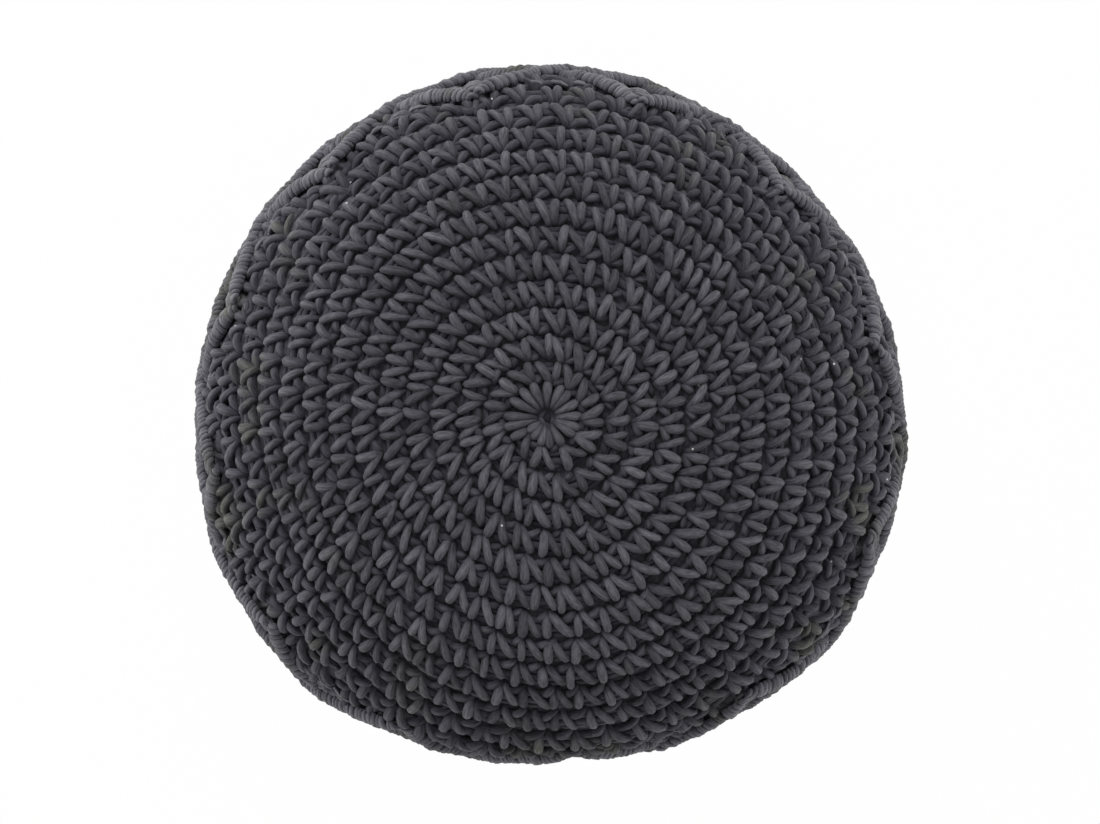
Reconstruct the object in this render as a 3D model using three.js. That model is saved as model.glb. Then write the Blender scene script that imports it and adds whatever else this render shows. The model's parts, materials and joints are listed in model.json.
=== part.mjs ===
// A round pouf in cotton cord: a filled drum with a knotted (macrame) side band, under a crocheted
// top panel and over a crocheted base panel. Millimetres, +Z up, standing on its base.
//
// A bearing is an angle round the pouf, clockwise from +Y seen from above.

import * as THREE from 'three';

// Driving sizes, in millimetres.
const HEIGHT = 350;
const BELLY_RADIUS = 250;
const CORD = 6;
const PANEL_THICKNESS = 2 * CORD;
const GAP = 0.3;

// The side band's knotted ridges start in pairs at points on the rim and cross all the way down.
const RIM_POINTS = 12;
const RIDGE_RISE = 6;
const KNOT_RISE = 4;
const COLUMNS_PER_POINT = 8;
const COLUMNS = RIM_POINTS * COLUMNS_PER_POINT;

// A ridge moves one mesh column round the pouf for each mesh row down, so ridges cross at every
// fourth row. The first row is the rim and the last is at the base.
const LAST_ROW = 24;

// Half sections of the pouf, from the inside out and from the top down.
const CROWN_SECTION = [
  { radius: 0, height: HEIGHT },
  { radius: 60, height: 349.5 },
  { radius: 115, height: 346.5 },
  { radius: 150, height: 341 },
  { radius: 175, height: 332.5 },
  { radius: 200, height: 317 },
  { radius: 215, height: 303.5 },
  { radius: 228, height: 288.5 },
];
const SIDE_SECTION = [
  { radius: 235, height: 292 },
  { radius: 242.5, height: 270 },
  { radius: 247, height: 240 },
  { radius: 249.5, height: 200 },
  { radius: BELLY_RADIUS, height: 155 },
  { radius: 247, height: 110 },
  { radius: 240, height: 65 },
  { radius: 229, height: 28 },
  { radius: 215, height: 7 },
];
const CROWN_RINGS = 9;
const BASE_RADIUS = 205;
const BASE_EDGE_ROUNDING = 5;

// Slow waves that take the outline out of round: each row adds its count of waves, in millimetres.
const OUTLINE_WAVES = [
  { count: 1, cosine: -5.2, sine: -3 },
  { count: 2, cosine: -2.6, sine: -0.5 },
  { count: 3, cosine: 3.6, sine: -1.2 },
  { count: 4, cosine: -1.4, sine: 0 },
  { count: 5, cosine: 1, sine: 0.2 },
];

// At one bearing, in degrees, the edge of the crocheted top bulges out over the ridges, which drop
// and are pressed back under it. The bulge dies away down the side.
const HEM_BULGE = { bearing: 182, halfWidth: 24, outward: 11, drop: 12, pressedBack: 5, shareOfSide: 0.3 };

// The rim points are set out by eye, not evenly: their drift from an even spacing, in degrees.
const RIM_POINT_DRIFT = [
  { count: 0, cosine: 20.8, sine: 0 },
  { count: 1, cosine: -5.5, sine: 1 },
  { count: 2, cosine: 0, sine: -1.2 },
];

const CORD_COTTON = new THREE.MeshStandardMaterial({ color: '#4b4b50', roughness: 0.95, metalness: 0 });

/** Adds up rows of waves at an angle. */
function wavesAt(rows, angle) {
  return rows.reduce(
    (sum, { count, cosine, sine }) =>
      sum + cosine * Math.cos(count * angle) + sine * Math.sin(count * angle),
    0,
  );
}

/** Bearing of a mesh column. Every eighth column, from column 0, runs through a rim point. */
function columnBearing(column) {
  const even = (2 * Math.PI * column) / COLUMNS;
  return even + THREE.MathUtils.degToRad(wavesAt(RIM_POINT_DRIFT, even));
}

/** How full the hem's bulge is at a mesh column: 1 at its middle and 0 away from it. */
function bulgeAt(column) {
  const offset = THREE.MathUtils.radToDeg(columnBearing(column)) - HEM_BULGE.bearing;
  return Math.exp(-((offset / HEM_BULGE.halfWidth) ** 4));
}

/** Makes one ring of points, from a function that gives each column's { radius, height, bulge }. */
function ring(sectionPoint) {
  return Array.from({ length: COLUMNS }, (_, column) => {
    const { radius, height, bulge } = sectionPoint(column);
    const bearing = columnBearing(column);
    const outline = 1 + wavesAt(OUTLINE_WAVES, bearing) / BELLY_RADIUS;
    const reach = radius * outline + HEM_BULGE.outward * bulge * bulgeAt(column);
    return new THREE.Vector3(reach * Math.sin(bearing), reach * Math.cos(bearing), height);
  });
}

/** Makes a ring that is the same all the way round, apart from its share of the hem's bulge. */
function plainRing(radius, height, bulge = 0) {
  return ring(() => ({ radius, height, bulge }));
}

/** Smooth curve through the rows of a half section. */
function sectionCurve(rows) {
  return new THREE.SplineCurve(rows.map(({ radius, height }) => new THREE.Vector2(radius, height)));
}

/**
 * Closes a stack of rings, lowest first, with a point on the axis at each end. Between two rings the
 * squares are split from lower left to upper right, seen from outside, unless splitsLeft says not.
 */
function closedStack(bottomHeight, rings, topHeight, splitsLeft = () => false) {
  const points = [new THREE.Vector3(0, 0, bottomHeight), ...rings.flat(), new THREE.Vector3(0, 0, topHeight)];
  const bottom = 0;
  const top = points.length - 1;
  const at = (level, column) => 1 + level * COLUMNS + (column % COLUMNS);
  const faces = [];
  for (let column = 0; column < COLUMNS; column += 1) {
    faces.push(bottom, at(0, column), at(0, column + 1));
    faces.push(top, at(rings.length - 1, column + 1), at(rings.length - 1, column));
    for (let level = 0; level < rings.length - 1; level += 1) {
      const a = at(level, column);
      const b = at(level, column + 1);
      const c = at(level + 1, column + 1);
      const d = at(level + 1, column);
      if (splitsLeft(level, column)) faces.push(a, d, b, b, d, c);
      else faces.push(a, d, c, a, c, b);
    }
  }
  const geometry = new THREE.BufferGeometry().setFromPoints(points);
  geometry.setIndex(faces);
  geometry.computeVertexNormals();
  return geometry;
}

/** Distance from a whole number of rim points, in columns: 0 on a ridge, 4 at the most. */
function columnsFromRidge(column) {
  const offset = ((column % COLUMNS_PER_POINT) + COLUMNS_PER_POINT) % COLUMNS_PER_POINT;
  return Math.min(offset, COLUMNS_PER_POINT - offset);
}

/** How far a point of the side stands back from the tops of the ridges. */
function setBack(row, column) {
  const fromRight = columnsFromRidge(column - row);
  const fromLeft = columnsFromRidge(column + row);
  if (fromRight === 0 || fromLeft === 0) return 0;
  const isDiamondCentre = fromRight === COLUMNS_PER_POINT / 2 && fromLeft === COLUMNS_PER_POINT / 2;
  return isDiamondCentre ? RIDGE_RISE - KNOT_RISE : RIDGE_RISE;
}

const crown = sectionCurve(CROWN_SECTION);
const crownEdge = CROWN_SECTION.at(-1);
const panelFoot = { radius: crownEdge.radius - CORD, height: crownEdge.height - PANEL_THICKNESS };

/** Share of the hem's bulge that a ring of the top panel has, at its radius. */
function crownBulge(radius) {
  return (radius / crownEdge.radius) ** 4;
}

/** The top panel's underside as rings from its edge in to the axis, moved inwards by a gap. */
function underCrown(gap) {
  const inner = [0.75, 0.5, 0.25].map((share) => crown.getPointAt(share));
  return [
    plainRing(panelFoot.radius - gap, panelFoot.height - gap, 1),
    ...inner.map(({ x, y }) => plainRing(x - gap, y - PANEL_THICKNESS - gap, crownBulge(x))),
  ];
}

/** Crocheted top: a crowned panel two cords thick. */
function topPanelGeometry() {
  const upper = Array.from({ length: CROWN_RINGS }, (_, index) => crown.getPointAt(1 - index / CROWN_RINGS));
  const topside = upper.map(({ x, y }) => plainRing(x, y, crownBulge(x)));
  return closedStack(HEIGHT - PANEL_THICKNESS, [...underCrown(0).reverse(), ...topside], HEIGHT);
}

/** Filled drum inside the knotted band, with the ridges and knots of the band standing out of it. */
function sideBandGeometry() {
  const side = sectionCurve(SIDE_SECTION);
  const sideRows = Array.from({ length: LAST_ROW + 1 }, (_, index) => {
    const row = LAST_ROW - index;
    const share = row / LAST_ROW;
    const point = side.getPointAt(share);
    const along = side.getTangentAt(share);
    const bulge = Math.max(0, 1 - share / HEM_BULGE.shareOfSide) ** 2;
    return ring((column) => {
      const pressed = bulge * bulgeAt(column);
      const back = THREE.MathUtils.lerp(setBack(row, column), HEM_BULGE.pressedBack, pressed);
      return {
        radius: point.x + along.y * back,
        height: point.y - along.x * back - HEM_BULGE.drop * pressed,
        bulge,
      };
    });
  });
  const recess = [
    plainRing(BASE_RADIUS + GAP, PANEL_THICKNESS + GAP),
    plainRing(BASE_RADIUS + GAP, BASE_EDGE_ROUNDING),
  ];
  const lip = plainRing(crownEdge.radius + GAP, crownEdge.height - CORD, 1);
  const rings = [...recess, ...sideRows, lip, ...underCrown(GAP)];
  // The seat's squares are split as the panel's are, so that the gap between the two stays even.
  const splitsLeft = (level, column) => {
    const lowerRow = LAST_ROW - (level - recess.length);
    return lowerRow < -1 || columnsFromRidge(column + 1 - lowerRow) === 0;
  };
  return closedStack(PANEL_THICKNESS + GAP, rings, HEIGHT - PANEL_THICKNESS - GAP, splitsLeft);
}

/** Crocheted base: a flat panel two cords thick, which the pouf stands on. */
function basePanelGeometry() {
  return closedStack(
    0,
    [
      plainRing(BASE_RADIUS - BASE_EDGE_ROUNDING, 0),
      plainRing(BASE_RADIUS, BASE_EDGE_ROUNDING),
      plainRing(BASE_RADIUS, PANEL_THICKNESS),
    ],
    PANEL_THICKNESS,
  );
}

/** Names a sub-part and gives it the cord's material. */
function namedPart(name, geometry) {
  const mesh = new THREE.Mesh(geometry, CORD_COTTON.clone());
  mesh.name = name;
  return mesh;
}

const pouf = new THREE.Group();
pouf.add(namedPart('crochet_top_panel', topPanelGeometry()));
pouf.add(namedPart('macrame_side_band', sideBandGeometry()));
pouf.add(namedPart('crochet_base_panel', basePanelGeometry()));

// The origin is under the middle of the pouf's box.
const middle = new THREE.Box3().setFromObject(pouf).getCenter(new THREE.Vector3());
pouf.position.set(-middle.x, -middle.y, 0);
pouf.updateMatrixWorld(true);

export default pouf;
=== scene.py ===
"""Round cotton cord pouf: crocheted top and base, and a knotted side band, round a filled body.

Sizes are in millimetres until a mesh is written, and the row frame is in metres. A bearing is an
angle round the pouf in radians, clockwise from +Y seen from above. A station is the same angle
counted in rim points, from 0 to 12, and it follows their uneven spacing.
"""

import json
import logging
import math
from dataclasses import dataclass, field
from enum import Enum
from functools import cached_property

import bpy
import mathutils
import numpy as np
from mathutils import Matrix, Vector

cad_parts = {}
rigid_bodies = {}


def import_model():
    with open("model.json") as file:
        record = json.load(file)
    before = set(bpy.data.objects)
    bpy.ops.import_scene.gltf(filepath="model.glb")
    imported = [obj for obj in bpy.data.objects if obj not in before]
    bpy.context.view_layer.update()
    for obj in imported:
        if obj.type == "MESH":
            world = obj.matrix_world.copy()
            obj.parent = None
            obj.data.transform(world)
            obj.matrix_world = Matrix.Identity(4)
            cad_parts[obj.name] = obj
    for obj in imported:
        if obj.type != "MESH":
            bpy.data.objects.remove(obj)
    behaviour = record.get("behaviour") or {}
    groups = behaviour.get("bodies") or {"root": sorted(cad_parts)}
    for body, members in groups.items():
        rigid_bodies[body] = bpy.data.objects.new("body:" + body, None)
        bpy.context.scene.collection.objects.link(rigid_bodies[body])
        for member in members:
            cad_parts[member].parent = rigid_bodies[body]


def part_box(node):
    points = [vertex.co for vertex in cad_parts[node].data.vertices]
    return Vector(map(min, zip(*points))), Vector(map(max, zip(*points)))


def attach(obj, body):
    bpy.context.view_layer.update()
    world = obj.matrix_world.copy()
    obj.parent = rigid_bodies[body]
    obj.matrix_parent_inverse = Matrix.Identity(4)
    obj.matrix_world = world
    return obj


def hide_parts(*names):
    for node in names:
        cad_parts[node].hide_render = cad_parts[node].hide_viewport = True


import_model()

logging.basicConfig(level=logging.INFO, format="%(message)s")
LOG = logging.getLogger("pouf")

MM = 0.001
ROOT_BODY = "root"
TOP_NODE = "crochet_top_panel"
SIDE_NODE = "macrame_side_band"
BASE_NODE = "crochet_base_panel"
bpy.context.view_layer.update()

# How much strands differ in shade, as the standard deviation of a shade that runs from -1 to 1.
SHADE_SPREAD = 0.4

# The square of the share of its full thickness that a rounded tip keeps.
TIP_SHARE_SQUARED = 0.05

# Socket numbers of a Mix node that mixes colours, whose sockets share their names.
MIX_SHARE, MIX_FIRST, MIX_SECOND, MIX_RESULT = 0, 6, 7, 2
WHITE = (1.0, 1.0, 1.0, 1.0)


# ---------------------------------------------------------------------------------------------
# Colour and node helpers
# ---------------------------------------------------------------------------------------------


def linear_colour(hex_colour: str) -> tuple[float, float, float, float]:
    """Turns an sRGB hex colour into the linear colour that Blender's sockets take.

    Args:
        hex_colour: Six hex digits, such as "4b4b50".

    Returns:
        Linear red, green and blue, and an alpha of 1.
    """
    channels = [int(hex_colour[start : start + 2], 16) / 255 for start in (0, 2, 4)]
    linear = [c / 12.92 if c <= 0.04045 else ((c + 0.055) / 1.055) ** 2.4 for c in channels]
    return (*linear, 1.0)


def add_node(tree: bpy.types.NodeTree, kind: str, settings: dict, links: dict) -> bpy.types.Node:
    """Adds one node, sets it and links what feeds it.

    Args:
        tree: The node tree.
        kind: The node's type name.
        settings: Property names, and input names or numbers, with their values.
        links: Input names or numbers, with the output sockets that feed them.

    Returns:
        The new node.
    """
    node = tree.nodes.new(kind)
    for name, value in settings.items():
        if isinstance(name, int) or name in node.inputs:
            node.inputs[name].default_value = value
        else:
            setattr(node, name, value)
    for name, socket in links.items():
        tree.links.new(socket, node.inputs[name])
    return node


def empty_material(name: str) -> bpy.types.Material:
    """Makes a material whose node tree is still empty.

    Args:
        name: The material's name.

    Returns:
        The material.
    """
    material = bpy.data.materials.new(name)
    material.use_nodes = True
    material.node_tree.nodes.clear()
    return material


# ---------------------------------------------------------------------------------------------
# Point and strand helpers
# ---------------------------------------------------------------------------------------------


def unit(vectors: np.ndarray) -> np.ndarray:
    """Scales vectors to a length of 1."""
    return vectors / np.linalg.norm(vectors, axis=-1, keepdims=True)


def at_bearing(reach: np.ndarray, bearing: np.ndarray, *height: np.ndarray) -> np.ndarray:
    """Makes points of distances from an axis at a bearing, and of their heights if they are given."""
    return np.stack([reach * np.sin(bearing), reach * np.cos(bearing), *height], axis=-1)


def across_and_up(along: np.ndarray, outward: np.ndarray) -> tuple[np.ndarray, np.ndarray]:
    """Gives the directions across a cord and up out of the work, where it runs along a direction."""
    across = unit(np.cross(along, outward))
    return across, np.cross(across, along)


def shades(rng: np.random.Generator, count: int, spread: float = SHADE_SPREAD) -> np.ndarray:
    """Draws how much lighter or darker than the rest each strand is, from -1 to 1."""
    return np.clip(rng.normal(0, spread, count), -1, 1)


def smooth_through(rows: np.ndarray, count: int) -> np.ndarray:
    """Runs a Catmull-Rom curve through rows of values.

    Args:
        rows: Values to pass through, shaped (rows, columns) or (copies, rows, columns).
        count: How many samples to take, evenly in the rows' numbering.

    Returns:
        The samples, with `count` in place of the number of rows.
    """
    rows = np.asarray(rows, float)
    last = rows.shape[-2] - 1
    spots = np.linspace(0, last, count)
    start = np.minimum(spots.astype(int), last - 1)
    t = (spots - start)[:, None]
    p0, p1 = rows[..., np.maximum(start - 1, 0), :], rows[..., start, :]
    p2, p3 = rows[..., start + 1, :], rows[..., np.minimum(start + 2, last), :]
    v1, v2 = (p2 - p0) / 2, (p3 - p1) / 2
    return (2 * p1 - 2 * p2 + v1 + v2) * t**3 + (-3 * p1 + 3 * p2 - 2 * v1 - v2) * t**2 + v1 * t + p1


# ---------------------------------------------------------------------------------------------
# Form of the pouf
# ---------------------------------------------------------------------------------------------


@dataclass(frozen=True)
class Wave:
    """One slow wave round the pouf, as the parts of a cosine and a sine."""

    count: int
    cosine: float
    sine: float


def waves_at(rows: tuple[Wave, ...], angle: np.ndarray) -> np.ndarray:
    """Adds up rows of waves at an angle in radians, and returns the sum."""
    return sum(
        row.cosine * np.cos(row.count * angle) + row.sine * np.sin(row.count * angle) for row in rows
    )


@dataclass(frozen=True)
class Section:
    """Half section of the pouf, as (radius, height) rows with a smooth curve through them."""

    rows: tuple[tuple[float, float], ...]
    samples: int = 400

    @cached_property
    def curve(self) -> np.ndarray:
        """Closely spaced points of the curve."""
        return smooth_through(np.array(self.rows), self.samples)

    @cached_property
    def shares(self) -> np.ndarray:
        """How far along the curve each point lies.

        Returns:
            Shares of the curve's length, from 0 to 1.
        """
        steps = np.linalg.norm(np.diff(self.curve, axis=0), axis=1)
        lengths = np.concatenate([[0.0], np.cumsum(steps)])
        return lengths / lengths[-1]

    @cached_property
    def slopes(self) -> np.ndarray:
        """Unit direction of the curve at each point."""
        return unit(np.gradient(self.curve, axis=0))

    def at_share(self, share: np.ndarray) -> tuple[np.ndarray, ...]:
        """Gives radius, height, and the radius and height parts of the direction, at a share."""
        values = (*self.curve.T, *self.slopes.T)
        return tuple(np.interp(share, self.shares, column) for column in values)


@dataclass(frozen=True)
class CrownSection:
    """Half section of the crowned top, as (spread, radius, height) rows with a curve through them.

    The spread is the radius that the crochet's rows count from. Past the panel's edge it runs on
    down the side, where the radius hardly grows.
    """

    rows: tuple[tuple[float, float, float], ...]
    samples: int = 400

    @cached_property
    def curve(self) -> np.ndarray:
        """Closely spaced points of the curve."""
        return smooth_through(np.array(self.rows, float), self.samples)

    def at(self, spread: np.ndarray) -> tuple[np.ndarray, ...]:
        """Reads the curve at a spread.

        Args:
            spread: The radius that the crochet's rows count from.

        Returns:
            Radius, height, and the radius and height parts of the curve's direction.
        """
        spreads, places = self.curve[:, 0], self.curve[:, 1:]
        values = (*places.T, *unit(np.gradient(places, axis=0)).T)
        return tuple(np.interp(spread, spreads, column) for column in values)


@dataclass(frozen=True)
class HemBulge:
    """Place where the edge of the crocheted top bulges out over the ridges and presses them down.

    The bearing and the half width are in degrees, and the rest in millimetres, apart from the share
    of the side's curve over which the bulge dies away.
    """

    bearing: float = 182.0
    half_width: float = 24.0
    outward: float = 11.0
    drop: float = 12.0
    pressed_back: float = 5.0
    share_of_side: float = 0.3

    def at(self, bearing: np.ndarray) -> np.ndarray:
        """Gives how full the bulge is at a bearing, from 0 to 1."""
        offset = (np.degrees(bearing) - self.bearing + 180) % 360 - 180
        return np.exp(-((offset / self.half_width) ** 4))


@dataclass(frozen=True)
class PoufForm:
    """Outer form of the pouf, where the tops of the cords lie, with its uneven outline.

    The crown's bulge at the hem fades over hem_fade past the panel's edge, and spread_rounds is how
    often a guess at a spread is put right.
    """

    belly_radius: float = 250.0
    rim_points: int = 12
    columns_per_point: int = 8
    base_radius: float = 205.0
    panel_radius: float = 228.0
    crown: CrownSection = CrownSection(
        (
            (0, 0, 350),
            (60, 60, 349.5),
            (115, 115, 346.5),
            (150, 150, 341),
            (175, 175, 332.5),
            (200, 200, 317),
            (215, 215, 303.5),
            (228, 228, 288.5),
            (240, 236, 274),
            (252, 241, 260),
            (264, 244, 246),
            (276, 245.5, 232),
            (288, 247, 218),
        )
    )
    side: Section = Section(
        (
            (235, 292),
            (242.5, 270),
            (247, 240),
            (249.5, 200),
            (250, 155),
            (247, 110),
            (240, 65),
            (229, 28),
            (215, 7),
        )
    )
    outline_waves: tuple[Wave, ...] = (
        Wave(1, -5.2, -3),
        Wave(2, -2.6, -0.5),
        Wave(3, 3.6, -1.2),
        Wave(4, -1.4, 0),
        Wave(5, 1, 0.2),
    )
    hem: HemBulge = HemBulge()
    hem_fade: float = 16.0
    spread_rounds: int = 5
    rim_point_drift: tuple[Wave, ...] = (Wave(0, 20.8, 0), Wave(1, -5.5, 1), Wave(2, 0, -1.2))

    def outline(self, bearing: np.ndarray) -> np.ndarray:
        """Gives how far the outline stands out at a bearing, as a factor on every radius."""
        return 1 + waves_at(self.outline_waves, bearing) / self.belly_radius

    def station_bearing(self, station: np.ndarray) -> np.ndarray:
        """Turns a station, counted in rim points, into a bearing."""
        even = 2 * np.pi * np.asarray(station, float) / self.rim_points
        return even + np.radians(waves_at(self.rim_point_drift, even))

    def station_at(self, bearing: np.ndarray) -> np.ndarray:
        """Turns a bearing into a station, by a table over three turns with a row for each degree."""
        station = np.linspace(-self.rim_points, 2 * self.rim_points, 3 * 360 + 1)
        return np.interp(np.mod(bearing, 2 * np.pi), self.station_bearing(station), station)

    def crown_reach(self, radius: np.ndarray, bearing: np.ndarray) -> np.ndarray:
        """Gives how far from the axis a radius, or a spread, of the crown lies at a bearing."""
        bulge = np.minimum(radius / self.panel_radius, 1) ** 4 * self.hem.at(bearing)
        return radius * self.outline(bearing) + self.hem.outward * bulge

    def crown_spread(self, reach: np.ndarray, bearing: np.ndarray) -> np.ndarray:
        """Turns a distance from the axis back into a spread of the crown's section.

        Args:
            reach: Distance from the form's axis.
            bearing: Bearing there.

        Returns:
            The spread that crown_reach turns into that distance.
        """
        spread = reach
        for _ in range(self.spread_rounds):
            spread = spread + reach - self.crown_reach(spread, bearing)
        return spread

    @cached_property
    def middle(self) -> np.ndarray:
        """Where the form's own axis stands in the row frame, from the base panel's CAD box.

        Returns:
            The axis's place, at the height of the floor.
        """
        low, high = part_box(BASE_NODE)
        even = np.arange(self.rim_points * self.columns_per_point) / self.columns_per_point
        bearing = self.station_bearing(even)
        ring = at_bearing(self.base_radius * self.outline(bearing), bearing)
        own_middle = (ring.min(axis=0) + ring.max(axis=0)) / 2
        box_middle = np.array([low.x + high.x, low.y + high.y]) / 2 / MM
        return np.array([*(box_middle - own_middle), 0.0])

    def on_crown(self, flat: np.ndarray, depth: np.ndarray) -> tuple[np.ndarray, np.ndarray]:
        """Puts points on the crowned top.

        Args:
            flat: Distances from the form's axis along X and Y, shaped (..., 2).
            depth: Distance above the cord tops, which is negative inside the pouf.

        Returns:
            The points and the outward directions there.
        """
        bearing = np.arctan2(flat[..., 0], flat[..., 1])
        spread = self.crown_spread(np.linalg.norm(flat, axis=-1), bearing)
        radius, height, run, rise = self.crown.at(spread)
        past_edge = np.clip((spread - self.panel_radius) / self.hem_fade, 0, 1)
        reach = self.crown_reach(spread, bearing) + (radius - spread) * self.outline(bearing)
        reach = reach - self.hem.outward * past_edge * self.hem.at(bearing)
        outward = at_bearing(-rise, bearing, run)
        points = at_bearing(reach, bearing, height) + outward * depth[..., None]
        return points + self.middle, outward

    def on_base(self, flat: np.ndarray, depth: np.ndarray) -> tuple[np.ndarray, np.ndarray]:
        """Puts points on the flat base, as on_crown does on the top.

        Args:
            flat: Distances from the form's axis along X and Y, shaped (..., 2).
            depth: Distance below the floor, which is negative inside the pouf.

        Returns:
            The points and the outward directions there.
        """
        points = np.concatenate([flat, -depth[..., None]], axis=-1)
        outward = np.zeros_like(points)
        outward[..., 2] = -1
        return points + self.middle, outward

    def on_side(
        self, station: np.ndarray, share: np.ndarray, depth: np.ndarray
    ) -> tuple[np.ndarray, np.ndarray]:
        """Puts points on the side band.

        Args:
            station: Place round the pouf, counted in rim points.
            share: Place down the side's curve, from 0 at the rim to 1 at the base.
            depth: Distance outside the ridge tops, which is negative inside the pouf.

        Returns:
            The points and the outward directions there.
        """
        bearing = self.station_bearing(station)
        radius, height, run, rise = self.side.at_share(share)
        bulge = np.maximum(0, 1 - share / self.hem.share_of_side) ** 2 * self.hem.at(bearing)
        depth = depth - self.hem.pressed_back * bulge
        reach = radius * self.outline(bearing) + self.hem.outward * bulge - rise * depth
        height = height - self.hem.drop * bulge + run * depth
        return at_bearing(reach, bearing, height) + self.middle, at_bearing(-rise, bearing, run)


# ---------------------------------------------------------------------------------------------
# Cord work: many short strands in one mesh
# ---------------------------------------------------------------------------------------------


@dataclass(frozen=True)
class Strands:
    """A batch of strands with the same number of rings, in millimetres.

    points and outward are shaped (strands, rings, 3), thickness (strands, rings) is the cord's
    radius, shade (strands) lightens or darkens a strand a little, and the last field (strands,
    rings) is painted light: 1 where a strand stands proud, which paints a highlight along its top,
    and 0 where it is buried, which paints it in shade.
    """

    points: np.ndarray
    outward: np.ndarray
    thickness: np.ndarray
    shade: np.ndarray
    painted_light: np.ndarray


@dataclass
class CordWork:
    """One piece of the pouf, made of strands of cord that are joined into one mesh.

    Each strand starts at its own place along pattern_run millimetres of the cord's pattern, which a
    large prime number scatters by the strand's shade. The power field narrows the painted highlight
    along the top of a strand.
    """

    name: str
    slot: str
    replaces: str
    sides: int = 8
    highlight_power: float = 1.6
    pattern_run: float = 1000.0
    pattern_scatter: int = 7919
    batches: list[Strands] = field(default_factory=list)

    def add(self, strands: Strands) -> None:
        """Adds a batch of strands."""
        self.batches.append(strands)

    def tube(self, strands: Strands) -> tuple[np.ndarray, ...]:
        """Makes the tubes of one batch.

        Args:
            strands: The batch.

        Returns:
            Corner points, side faces, end faces, the UV of each face corner in metres round and
            along the cord, and the strand's shade and the painted light of each corner point.
        """
        count, rings = strands.thickness.shape
        across, upward = across_and_up(unit(np.gradient(strands.points, axis=1)), strands.outward)
        turn = 2 * np.pi * np.arange(self.sides) / self.sides
        spoke = across[:, :, None] * np.cos(turn)[:, None] + upward[:, :, None] * np.sin(turn)[:, None]
        corners = strands.points[:, :, None] + spoke * strands.thickness[:, :, None, None]

        number = np.arange(count * rings * self.sides).reshape(count, rings, self.sides)
        beside = np.roll(number, -1, axis=2)
        quads = np.stack([number[:, :-1], beside[:, :-1], beside[:, 1:], number[:, 1:]], axis=-1)
        ends = np.concatenate([number[:, 0, ::-1], number[:, -1]])

        steps = np.linalg.norm(np.diff(strands.points, axis=1), axis=-1)
        length = np.concatenate([np.zeros((count, 1)), np.cumsum(steps, axis=1)], axis=1)
        length += self.pattern_run * np.modf(np.abs(strands.shade) * self.pattern_scatter)[0][:, None]
        girth = 2 * np.pi * strands.thickness.mean()
        round_start = np.broadcast_to(turn / (2 * np.pi) * girth, (count, rings - 1, self.sides))
        round_end = round_start + girth / self.sides
        low = np.broadcast_to(length[:, :-1, None], round_start.shape)
        high = np.broadcast_to(length[:, 1:, None], round_start.shape)
        side_uv = np.stack([round_start, low, round_end, low, round_end, high, round_start, high], axis=-1)
        end_uv = np.zeros((ends.size, 2))
        uv = np.concatenate([side_uv.reshape(-1, 2), end_uv]) * MM
        shade = np.repeat(strands.shade, rings * self.sides)
        # Painted highlight along the upward side of each tube, as strong as the strand is proud; the
        # downward sides get painted shade.
        painted_light = strands.painted_light[:, :, None] * np.maximum(np.sin(turn), 0) ** self.highlight_power
        return corners.reshape(-1, 3) * MM, quads.reshape(-1, 4), ends, uv, shade, painted_light.ravel()

    def build(self) -> bpy.types.Object:
        """Returns:
            The object.
        """
        corners, loops, starts, uvs, shades, light_values = [], [], [], [], [], []
        corner_count = loop_count = 0
        for points, quads, ends, uv, shade, painted_light in map(self.tube, self.batches):
            corners.append(points)
            loops += [quads.ravel() + corner_count, ends.ravel() + corner_count]
            starts += [loop_count + 4 * np.arange(len(quads))]
            starts += [loop_count + quads.size + self.sides * np.arange(len(ends))]
            uvs.append(uv)
            shades.append(shade)
            light_values.append(painted_light)
            corner_count += len(points)
            loop_count += quads.size + ends.size
        mesh = bpy.data.meshes.new(self.name)
        loops, starts = np.concatenate(loops), np.concatenate(starts)
        mesh.vertices.add(corner_count)
        mesh.loops.add(loop_count)
        mesh.polygons.add(len(starts))
        mesh.vertices.foreach_set("co", np.concatenate(corners).astype(np.float32).ravel())
        mesh.loops.foreach_set("vertex_index", loops.astype(np.int32))
        mesh.polygons.foreach_set("loop_start", starts.astype(np.int32))
        uv_map = mesh.uv_layers.new(name="cord")
        uv_map.data.foreach_set("uv", np.concatenate(uvs).astype(np.float32).ravel())
        # The second attribute carries the painted highlight and shade.
        for name, values in (("strand_shade", shades), ("painted_light", light_values)):
            layer = mesh.attributes.new(name, "FLOAT", "POINT")
            layer.data.foreach_set("value", np.concatenate(values).astype(np.float32))
        mesh.update(calc_edges=True)
        mesh.shade_smooth()
        piece = bpy.data.objects.new(self.name, mesh)
        bpy.context.scene.collection.objects.link(piece)
        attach(piece, ROOT_BODY)
        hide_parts(self.replaces)
        triangles = sum(len(polygon.vertices) - 2 for polygon in mesh.polygons)
        LOG.info("%s: %d triangles", self.name, triangles)
        return piece


# ---------------------------------------------------------------------------------------------
# Crochet
# ---------------------------------------------------------------------------------------------


class Face(Enum):
    """Which flat face of the pouf a crocheted panel covers."""

    TOP = "top"
    BASE = "base"


@dataclass(frozen=True)
class StrandShape:
    """Path of one strand in a stitch, as rows of (across, outward, depth, thickness).

    across counts stitches clockwise and outward counts rows, both from the stitch's foot. depth is
    in millimetres from the cord tops. thickness is a share of the cord's own. Near the panel's edge
    the work is pulled tighter, and the path changes from the inner rows to the outer ones. detail is
    the share of the panel's rings that the strand has.
    """

    inner: tuple[tuple[float, float, float, float], ...]
    outer: tuple[tuple[float, float, float, float], ...]
    detail: float = 1.0

    def between(self, share: np.ndarray) -> np.ndarray:
        """Gives the path for each share of the way from the inner rows to the outer ones."""
        share = np.asarray(share)[:, None, None]
        return (1 - share) * np.array(self.inner) + share * np.array(self.outer)


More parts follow.
